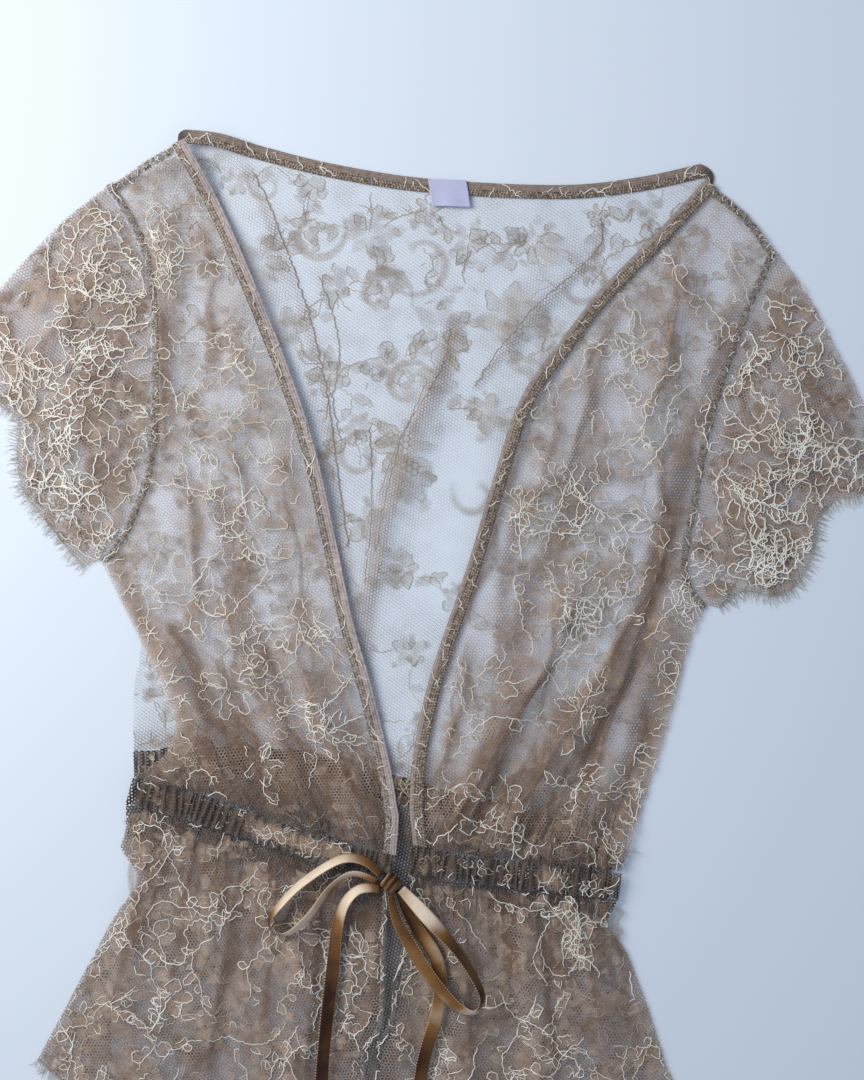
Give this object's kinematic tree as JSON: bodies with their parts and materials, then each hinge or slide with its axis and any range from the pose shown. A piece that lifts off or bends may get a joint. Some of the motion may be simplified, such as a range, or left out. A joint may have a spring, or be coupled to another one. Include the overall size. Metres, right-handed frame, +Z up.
{
  "type": "lace cover-up",
  "caption": "Sheer short-sleeved lace cover-up laid flat, with a bound V neck, a gathered drawstring waist tied in a ribbon bow, and a short scalloped skirt.",
  "frame": {"origin": "centre of the laid-out garment's box, on the surface that it lies on", "axes": "+X to the right as seen from above, +Y towards the neck, +Z up from the surface"},
  "size_m": [0.6084, 0.6826, 0.0221],
  "materials": {
    "lace": "sheer taupe net lace with cream corded flowers",
    "binding": "folded lace binding, stitched",
    "eyelash": "cut thread ends",
    "satin": "bronze satin ribbon",
    "label": "white woven tape, blank"
  },
  "bodies": {
    "root": {"back_bodice": "lace", "front_left": "lace", "front_right": "lace", "sleeve_left_back": "lace", "sleeve_left_front": "lace", "sleeve_right_back": "lace", "sleeve_right_front": "lace", "casing_back": "lace", "casing_front_left": "lace", "casing_front_right": "lace", "skirt_back": "lace", "skirt_front_left": "lace", "skirt_front_right": "lace", "neck_binding_back": "binding", "neck_binding_left": "binding", "neck_binding_right": "binding", "skirt_edge_left": "binding", "skirt_edge_right": "binding", "eyelash_sleeve_left_back": "eyelash", "eyelash_sleeve_left_front": "eyelash", "eyelash_sleeve_right_back": "eyelash", "eyelash_sleeve_right_front": "eyelash", "eyelash_skirt_back": "eyelash", "eyelash_skirt_left": "eyelash", "eyelash_skirt_right": "eyelash", "ribbon_casing_left": "satin", "ribbon_casing_right": "satin", "ribbon_knot": "satin", "ribbon_loop_left": "satin", "ribbon_loop_right": "satin", "ribbon_tail_left": "satin", "ribbon_tail_right": "satin", "neck_label": "label"}
  },
  "joints": []
}
